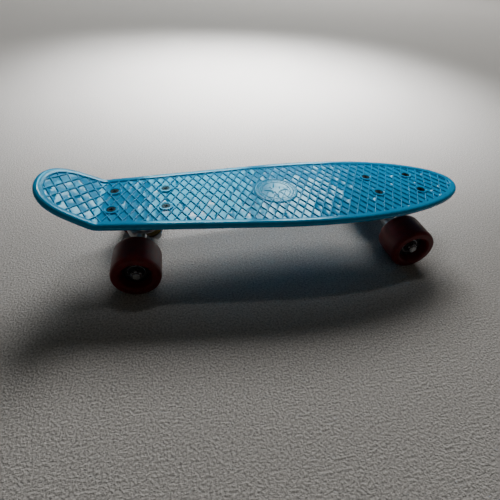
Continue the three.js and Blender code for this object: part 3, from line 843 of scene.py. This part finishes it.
# A flat web between corners in x and z, given a thickness across the board
def sideWeb(corners, y, thick):
    corners = np.array(corners, float)
    count = len(corners)
    rows = []
    for where, inner in ((y - thick / 2, True), (y - thick / 2, False),
                         (y + thick / 2, False), (y + thick / 2, True)):
        plan = np.repeat(corners.mean(0)[None], count, 0) if inner else corners
        rows.append(np.stack([plan[:, 0], np.full(count, where), plan[:, 1]], -1))
    return np.concatenate(rows), gridFaces(4, count)


# The hanger before machining: a beam turned about the axle, a nose turned about the
# pivot's axis, the kingpin's ring, the web between them and two bars down to the beam
def hangerCasting():
    t = truckForm
    along = np.linspace(-1, 1, 61)
    waist = (8.3 + 1.3 * np.exp(-(along * t["hangerHalf"] / 13) ** 4)
             + 0.9 * np.exp(-((np.abs(along) - 1) * 9) ** 2))
    beam = np.stack([waist, along * t["hangerHalf"]], -1)
    beam = np.concatenate([[[0, -t["hangerHalf"]]], beam, [[0, t["hangerHalf"]]]])
    foot = -np.linalg.norm(pivotCentre - [0, 0, axleHeight])
    dome = [(5.2 * math.cos(a), 5.2 * math.sin(a)) for a in np.linspace(0, 1.5707, 9)]
    nose = roundedProfile([(0, foot), (9.4, foot), (6.6, -12, 3), (5.4, -9, 1), (4.6, -7.5, 1),
                           (4.6, -2.5)]).tolist() + dome[1:-1] + [[0, 5.2]]
    seat, end = t["ringThick"] / 2, t["hangerHalf"] - 0.2
    ring = roundedProfile([(0, -seat), (t["ringRadius"], -seat, 1), (t["ringRadius"], seat, 1),
                           (0, seat)])
    web = roundedSlab(25, 23, 3, (-12.5, 0), -3.1, 3.1, 0.6)
    bars = [taperedBar((2, e * 9, 42), (0, e * 22, 32), 4.4, 4.0) for e in (-1, 1)]
    casting = castTogether("hangerCasting", [
        onAxle(turned(beam, 64)), onPivot(turned(nose, 48)), onKingpin(turned(ring, 72)),
        onKingpin(web)] + bars, t["voxel"], 4)
    cuts = [onKingpin(rod(t["ringHole"], -9, 9)),
            onAxle(rod(t["axleRadius"] + t["axlePlay"], -60, 60, 48))]
    for e in (-1, 1):
        cuts.append(onKingpin(rod(t["seatCut"], e * seat, e * 12)))
        cuts.append(onAxle(rod(20, e * end, e * 60, 48)))
    return combined("hangerCasting", casting, cuts, "DIFFERENCE")


# The baseplate before drilling: a plate with soft edges, the kingpin's seat, the pivot's
# boss and two gussets; then the top is faced flat and every hole is cut
def baseplateCasting():
    t = truckForm
    top = deckForm["top"] - undersideForm["padDepth"]
    low = top - t["plateThick"]
    plate = roundedSlab(t["plateLength"], t["plateWidth"], t["plateCorner"], (t["plateX"], 0),
                        low, top + 2, 0.8)
    seat = roundedProfile([(0, t["seatHeight"]), (t["seatRadius"], t["seatHeight"], 0.8),
                           (t["seatRadius"] + 2.2, 40), (0, 40)])
    boss = roundedProfile([(0, t["bossMouth"]), (t["bossRadius"] - 0.6, t["bossMouth"], 1),
                           (t["bossRadius"] + 0.6, 24), (0, 24)])
    gussets = [sideWeb([(16, low - 10.5), (16, low + 2), (45, low + 2), (45, low - 1)], y, 4.4)
               for y in (-8, 8)]
    edges = [sideWeb([(-24, low - 1.8), (-24, low + 2), (44, low + 2), (44, low - 1.8)],
                     e * 24.4, 3.2) for e in (-1, 1)]
    casting = castTogether("baseplateCasting", [plate, onKingpin(turned(seat, 64)),
                                                onPivot(turned(boss, 64))] + gussets + edges,
                           t["voxel"], 4)
    cuts = [roundedSlab(240, 240, 5, (0, 0), top - 0.02, top + 60),
            onKingpin(rod(t["pinHole"], 0, 60)), onKingpin(rod(20, 10, t["seatHeight"])),
            onKingpin(rod(t["headPocket"], 26.4, 60)), onPivot(rod(t["cupHole"], -8, 6.9))]
    for along in (-0.5, 0.5):
        for across in (-0.5, 0.5):
            place = [screwForm["centreX"] + along * screwForm["spacingX"],
                     across * screwForm["spacingY"], 0]
            for hole in (rod(t["screwHole"], 60, top + 2, 32), rod(t["nutFace"], 60, low, 40)):
                cuts.append((hole[0] + place, hole[1]))
    return combined("baseplateCasting", casting, cuts, "DIFFERENCE")


# A truck's surface or mesh put in place: the front truck faces the other way
def atTruck(shape, end):
    turn = -1 if end == "front" else 1
    shift = middleX + (halfWheelbase if end == "front" else -halfWheelbase)
    if isinstance(shape, bpy.types.Mesh):
        data = shape.copy()
        data.transform(Matrix.Translation((shift * toMetres, 0, 0))
                       @ Matrix.Rotation(math.pi if turn < 0 else 0, 4, "Z"))
        return data
    return shape[0] * [turn, turn, 1] + [shift, 0, 0], shape[1]


stackForm = {"bushingTop": (3.7, 13.9, 12.6, 12.6), "bushingBottom": (-13.3, -3.7, 11.0, 12.2),
             "washerTop": (13.9, 15.9, 12.3), "washerBottom": (-15.3, -13.3, 11.6),
             "nut": (-22.4, -15.4), "nutFlats": 14.2, "pinRadius": 4.75, "pinEnd": -24.5,
             "head": (26.7, 31.7), "headFlats": 14.2, "pinPitch": 1.2}


# A bushing: straight sides that bulge a little in the middle, with soft lips
def bushingSurface(low, high, lowRadius, highRadius):
    share = np.linspace(0, 1, 15)
    wall = lowRadius + (highRadius - lowRadius) * share + 0.5 * np.sin(np.pi * share)
    height = low + (high - low) * (0.08 + 0.84 * share)
    outer = [(5.0, low), (lowRadius - 1.0, low)] + list(zip(wall, height)) \
        + [(highRadius - 1.0, high), (5.0, high), (5.0, low)]
    return turned(np.array(outer), 72)


# A cup washer: a pressed disc whose turned lip holds the bushing
def washerSurface(low, high, radius, lipUp):
    thick = 1.3
    face = (low, high) if lipUp else (high, low)
    sign = 1 if lipUp else -1
    return turned(roundedProfile([
        (5.0, face[0]), (radius - 0.6, face[0], 0.9), (radius + 0.7, face[0] + sign * 1.0, 0.5),
        (radius + 0.7, face[0] + sign * 2.9, 0.3), (radius - 0.1, face[0] + sign * 2.9, 0.3),
        (radius - 0.3, face[0] + sign * (thick + 0.2), 0.4), (5.0, face[0] + sign * thick),
        (5.0, face[0])], steps=4), 72)


# The kingpin: a shank threaded below, and a hexagon head in the baseplate's pocket
def kingpinSurface():
    k = stackForm
    rise = np.linspace(k["pinEnd"] + 0.7, k["head"][0] - 0.4, 160)
    shank = np.stack([np.full(160, k["pinRadius"]), rise], -1)
    lower = np.concatenate([[[0, k["pinEnd"]], [k["pinRadius"] - 0.8, k["pinEnd"]]], shank])
    headCorner = k["headFlats"] / 2 / math.cos(math.pi / 6)
    head = roundedProfile([(k["pinRadius"] + 0.3, k["head"][0]), (headCorner, k["head"][0]),
                           (headCorner, k["head"][1] - 0.7), (k["headFlats"] / 2 - 0.4, k["head"][1]),
                           (0, k["head"][1])])
    low, _ = turned(lower, 72, thread=(k["pinEnd"] + 0.9, -6, k["pinPitch"], 0.45))
    high, _ = turned(head, 72, flats=k["headFlats"])
    return np.concatenate([low, high]), gridFaces(len(lower) + len(head), 72)


# The pivot cup: a short plug with a round hollow, sized to the hanger's nose
def cupSurface():
    dome = [(5.7 * math.cos(a), 5.7 * math.sin(a)) for a in np.linspace(1.5708, 0, 9)]
    profile = [(0, 5.7)] + dome[1:] + [(5.9, -6.2), (6.2, -6.5), (7.8, -6.5), (8.1, -6.2),
                                       (8.1, 6.2), (7.7, 6.6), (0, 6.6)]
    return turned(profile, 56)


# The axle: a bar with the same thread at both ends, each wound from the middle outwards
def axleSurface():
    t = truckForm
    half = t["axleHalf"]
    threaded = np.linspace(half - 12, half - 0.7, 90)
    side = np.concatenate([[[t["axleRadius"], 0]],
                           np.stack([np.full(90, t["axleRadius"]), threaded], -1),
                           [[t["axleRadius"] - 0.7, half], [0, half]]])
    profile = np.concatenate([side[::-1] * [1, -1], side[1:]])
    points, faces = turned(profile, 48, thread=(half - 11, half - 0.8, 1.0, 0.32))
    mirrorPoints = turned(profile, 48, thread=(-half + 0.8, -half + 11, 1.0, 0.32))[0]
    both = np.where(points[:, 2:] < 0, mirrorPoints, points)
    return onAxle((both, faces))


# Every part of both trucks; a bushing has no body of its own and stays baked in place
def buildTrucks():
    k = stackForm
    hanger, plate = hangerCasting(), baseplateCasting()
    print("castings made:", len(hanger.polygons), len(plate.polygons), "faces")
    # The kingpin's nut is made the other way up, then turned over
    nut = lockNutSurface(k["nutFlats"], k["pinRadius"] + 0.02, -k["nut"][1], -k["nut"][0])
    nut = (nut[0] * [1, -1, -1], nut[1])
    for end in ("front", "rear"):
        body = f"{end}_hanger_body"
        pieces = [
            ("Hanger", hanger, "castAluminium", body, "hanger", 40),
            ("Baseplate", plate, "castAluminium", "deck", "baseplate", 40),
            ("PivotCup", onPivot(cupSurface()), "blackRubber", "deck", "pivot_cup", 40),
            ("Kingpin", onKingpin(kingpinSurface()), "zincSteel", "deck", "kingpin", 30),
            ("KingpinNut", onKingpin(nut), "zincSteel", "deck", "kingpin_nut", 30),
            ("WasherTop", onKingpin(washerSurface(*k["washerTop"], False)),
             "zincSteel", "deck", "washer_top", 40),
            ("WasherBottom", onKingpin(washerSurface(*k["washerBottom"], True)),
             "zincSteel", "deck", "washer_bottom", 40),
            ("BushingTop", onKingpin(bushingSurface(*k["bushingTop"])),
             "amberUrethane", None, "bushing_top", 40),
            ("BushingBottom", onKingpin(bushingSurface(*k["bushingBottom"])),
             "amberUrethane", None, "bushing_bottom", 40),
            ("Axle", axleSurface(), "zincSteel", body, "axle", 30),
        ]
        for label, shape, look, rides, node, crease in pieces:
            piece = addPiece(end + label, atTruck(shape, end), look, rides, [f"{end}_{node}"],
                             crease)
            if rides is None:
                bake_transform(piece)
    print("trucks made")


buildTrucks()


wheelForm = {
    "radius": 30, "width": 45, "lip": 5, "recess": 20.2, "coreRadius": 16.9, "coreWidth": 24,
    "pocket": 11.05, "throat": 8.5, "bearingWidth": 7, "bearingRadius": 11, "bore": 4.02,
    "sides": 128, "nutFlats": 12.6, "nutFace": 69.8, "nutHeight": 7, "spokes": 8, "pocketDepth": 2.2,
    "seal": 9.5, "bush": 5.9, "washer": 6.1, "washerHalf": 0.62, "washerGap": 0.65,
}
wheelCentreY = abs(jointPlace["rear_left_wheel_spin"][1])


# The urethane: tread, rounded lips and a recess that narrows to the core on both sides
def tyreSurface():
    w = wheelForm
    half = w["width"] / 2
    side = [(w["coreRadius"], w["coreWidth"] / 2 - 1.2, 0),
            (w["coreRadius"] + 0.4, w["coreWidth"] / 2, 0.4),
            (w["recess"] - 0.9, half - 1.8, 2.5), (w["recess"] + 1.6, half, 1.4),
            (w["radius"] - 1.2, half - 0.2, 2.8), (w["radius"], half - w["lip"], 3.6)]
    lower = [(r, -z, f) for r, z, f in side]
    profile = roundedProfile(lower + side[::-1], steps=7, closed=True)
    return turned(profile, w["sides"], closed=True)


# The core's face is sunk between its hub and its rim, except on the spokes
def coreSurface():
    w = wheelForm
    half = w["coreWidth"] / 2
    step = half - w["bearingWidth"] - 0.05
    radii = np.array([w["pocket"] + 0.001, 11.6, 12.1, 12.6, 15.1, 15.6, 16.2,
                      w["coreRadius"] - 0.02])
    sink = np.array([0.3, 0, 0, 1, 1, 0, 0, 0.25])
    inner = [(w["throat"], -step), (w["pocket"], -step)]
    low = [(r, -half) for r in radii]
    high = [(r, half) for r in radii[::-1]]
    profile = np.array(inner + low + high + [(w["pocket"], step), (w["throat"], step)])
    depths = np.concatenate([[0, 0], sink, sink[::-1], [0, 0]])
    points, faces = turned(profile, 160, closed=True)
    grid = points.reshape(len(profile), 160, 3)
    angle = np.arange(160) * 2 * np.pi / 160
    spoke = np.clip(np.cos(angle * w["spokes"]) * 4 - 1.6, 0, 1)
    full = np.where(depths == 1, w["pocketDepth"] * (1 - spoke)[:, None], depths).T
    grid[:, :, 2] -= np.sign(grid[:, :, 2]) * full
    return grid.reshape(-1, 3), faces


# Bearing rings about the axle: races with a shallow groove and a seal set just inside
def raceSurface(inner, outer, half):
    return turned(roundedProfile([(inner, -half, 0.3), (outer, -half, 0.3), (outer, half, 0.3),
                                  (inner, half, 0.3)], steps=3, closed=True), 72, closed=True)


def sealSurface(half):
    side = [(5.95, half - 0.5), (6.6, half - 0.35, 0.2), (7.2, half - 0.55, 0.2),
            (8.6, half - 0.55, 0.2), (9.1, half - 0.3, 0.2), (9.5, half - 0.4)]
    lower = [(p[0], -p[1]) + p[2:] for p in side]
    return turned(roundedProfile(lower + side[::-1], steps=3), 72, closed=True)


def buildWheels():
    w = wheelForm
    halfBearing = w["bearingWidth"] / 2
    for end in ("front", "rear"):
        x = middleX + (halfWheelbase if end == "front" else -halfWheelbase)
        hangerBody = f"{end}_hanger_body"
        for side, out in (("left", 1), ("right", -1)):
            label, nodes, body = end + side.capitalize(), f"{end}_{side}", f"{end}_{side}_wheel"
            centre = (x, out * wheelCentreY, axleHeight)
            addPiece(label + "Tyre", alongY(tyreSurface(), centre), "redUrethane", body,
                     [nodes + "_tyre"], 50)
            addPiece(label + "Core", alongY(coreSurface(), centre), "corePlastic", body,
                     [nodes + "_core"], 35)
            for place, sign in (("inner", -1), ("outer", 1)):
                middle = out * (wheelCentreY + sign * (w["coreWidth"] / 2 - halfBearing))
                washerY = out * (wheelCentreY + sign * (w["coreWidth"] / 2 + w["washerGap"]))
                at, washerAt = (x, middle, axleHeight), (x, washerY, axleHeight)
                name = label + place.capitalize()
                race = raceSurface(w["seal"], w["bearingRadius"], halfBearing)
                addPiece(name + "Race", alongY(race, at), "bearingSteel", body,
                         [f"{nodes}_bearing_{place}"])
                addPiece(name + "Seal", alongY(sealSurface(halfBearing), at), "blackRubber", body)
                addPiece(name + "Bush", alongY(raceSurface(w["bore"], w["bush"], halfBearing), at),
                         "bearingSteel", hangerBody)
                washer = raceSurface(w["bore"], w["washer"], w["washerHalf"])
                addPiece(name + "SpeedWasher", alongY(washer, washerAt), "zincSteel", hangerBody)
            # The axle nut is zinc steel but takes the darkened hub steel: painted shade
            nut = lockNutSurface(w["nutFlats"], truckForm["axleRadius"] + 0.02, 0,
                                 w["nutHeight"], 0.28)
            nut = (nut[0] * ([1, 1, 1] if out > 0 else [1, -1, -1]), nut[1])
            addPiece(label + "AxleNut", alongY(nut, (x, out * w["nutFace"], axleHeight)),
                     "bearingSteel", hangerBody, [nodes + "_axle_nut"], 30)
    print("wheels made")


buildWheels()


stageForm = {
    "floorColor": (0.56, 0.545, 0.53), "floorHalf": 6.0, "napScale": 440, "napDark": 0.52,
    "napLight": 1.34, "napStrength": 0.8, "napHeight": 0.004,
    "windowDistance": 8.0, "leftPane": (-8.0, 12.6), "rightPane": (16.8, 28.5),
    "leftBands": ((6.0, 26.4, 0.9, (0.5, 0.85, 1.0)), (26.6, 38.5, 7.6, (0.2, 0.8, 1.0)),
                  (39.0, 47.0, 15.0, (0.9, 0.98, 1.0))),
    "rightBands": ((6.0, 28.6, 0.7, (0.5, 0.85, 1.0)), (28.8, 41.0, 11.5, (0.55, 0.92, 1.0))),
    "keySides": (2.0, 36.0), "keyHeights": (28.0, 44.0), "keyRadiance": 20.5,
    "keyColor": (1.0, 0.97, 0.93),
    "sky": (0.36, 0.34, 0.29), "skyStrength": 0.1,
    "pool": (150, 900, 1400), "poolSize": 0.8, "poolRadiance": 12.5, "poolSpread": 54,
    "lens": 24.65, "eye": (-111.5, -381.0, 328.4),
    "right": (0.98079, -0.18915, 0.04758), "up": (0.08913, 0.65163, 0.75328),
}


# Plain floor with a slight mottle in its colour and a soft nap in its bump
def floorFinish():
    material = bpy.data.materials.new("paleFloor")
    material.use_nodes = True
    tree = material.node_tree
    shader = tree.nodes["Principled BSDF"]
    s = stageForm
    nap = noiseNode(tree, objectPlace(tree), s["napScale"], Detail=4.0, Roughness=0.6)
    shade = addNode(tree, "ShaderNodeMapRange", [("Value", nap), ("From Min", 0.3),
                                                 ("From Max", 0.7), ("To Min", s["napDark"]),
                                                 ("To Max", s["napLight"])])
    colour = addNode(tree, "ShaderNodeVectorMath", [(0, s["floorColor"])], operation="SCALE")
    tree.links.new(shade.outputs[0], colour.inputs["Scale"])
    tree.links.new(colour.outputs[0], shader.inputs["Base Color"])
    bump = addNode(tree, "ShaderNodeBump", [("Strength", s["napStrength"]),
                                            ("Distance", s["napHeight"]), ("Height", nap)])
    tree.links.new(bump.outputs[0], shader.inputs["Normal"])
    shader.inputs["Roughness"].default_value = 0.95
    return material


# A flat area light that fills a patch of sky between two bearings and two heights, as
# seen from the board's middle, which it faces
def skyPatch(name, left, right, lowest, highest, radiance, colour):
    reach = stageForm["windowDistance"]
    middle, tilt = math.radians((left + right) / 2), math.radians((lowest + highest) / 2)
    light = bpy.data.lights.new(name, "AREA")
    light.shape = "RECTANGLE"
    light.size = 2 * reach * math.cos(tilt) * math.tan(math.radians(right - left) / 2)
    light.size_y = 2 * reach * math.tan(math.radians(highest - lowest) / 2)
    light.energy = radiance * math.pi * light.size * light.size_y
    light.color = colour
    lamp = placed(name, light)
    away = Vector((math.sin(middle) * math.cos(tilt), math.cos(middle) * math.cos(tilt),
                   math.sin(tilt)))
    lamp.location = Vector((0, 0, 0.09)) + away * reach
    lamp.rotation_euler = away.to_track_quat("Z", "Y").to_euler()
    lamp.visible_camera = False
    return lamp


def buildStage():
    s = stageForm
    half = s["floorHalf"] / toMetres
    x, y = np.meshgrid(np.linspace(-half, half, 25), np.linspace(-half, half, 25))
    points = np.stack([x, y, np.zeros_like(x)], -1).reshape(-1, 3)
    floorMesh = makeMesh("floor", points, gridFaces(25, 25, closeColumns=False), outward=False)
    floor = placed("floor", floorMesh)
    floorMesh.materials.append(floorFinish())

    # The window that the gloss mirrors: two panes in bands, dim below the sill
    for pane in ("left", "right"):
        for i, (lowest, highest, radiance, colour) in enumerate(s[pane + "Bands"]):
            lamp = skyPatch(f"{pane}Pane{i}", *s[pane + "Pane"], lowest, highest, radiance, colour)
            lamp.visible_diffuse = False

    # The same window's soft light on the floor, which throws the shadow forward
    lamp = skyPatch("windowLight", *s["keySides"], *s["keyHeights"], s["keyRadiance"], s["keyColor"])
    lamp.visible_glossy = False

    # A soft pool of light on the far floor, aimed straight down
    light = bpy.data.lights.new("farPool", "AREA")
    light.size, light.spread = s["poolSize"], math.radians(s["poolSpread"])
    light.energy = s["poolRadiance"] * math.pi * light.size ** 2
    lamp = placed("farPool", light)
    lamp.location = Vector(s["pool"]) * toMetres
    lamp.visible_glossy = lamp.visible_camera = False

    world = bpy.data.worlds.new("room")
    world.use_nodes = True
    sky = world.node_tree.nodes["Background"].inputs
    sky["Color"].default_value = s["sky"] + (1,)
    sky["Strength"].default_value = s["skyStrength"]
    bpy.context.scene.world = world

    camera = bpy.data.cameras.new("camera")
    camera.sensor_width = 36
    camera.lens = s["lens"]
    camera.clip_start = 0.01
    eye = placed("camera", camera)
    right, up = Vector(s["right"]).normalized(), Vector(s["up"])
    up = (up - right * up.dot(right)).normalized()
    back = right.cross(up)
    turn = Matrix((right, up, back)).transposed().to_4x4()
    eye.matrix_world = Matrix.Translation(Vector(s["eye"]) * toMetres) @ turn
    bpy.context.scene.camera = eye
    print("stage made")


buildStage()
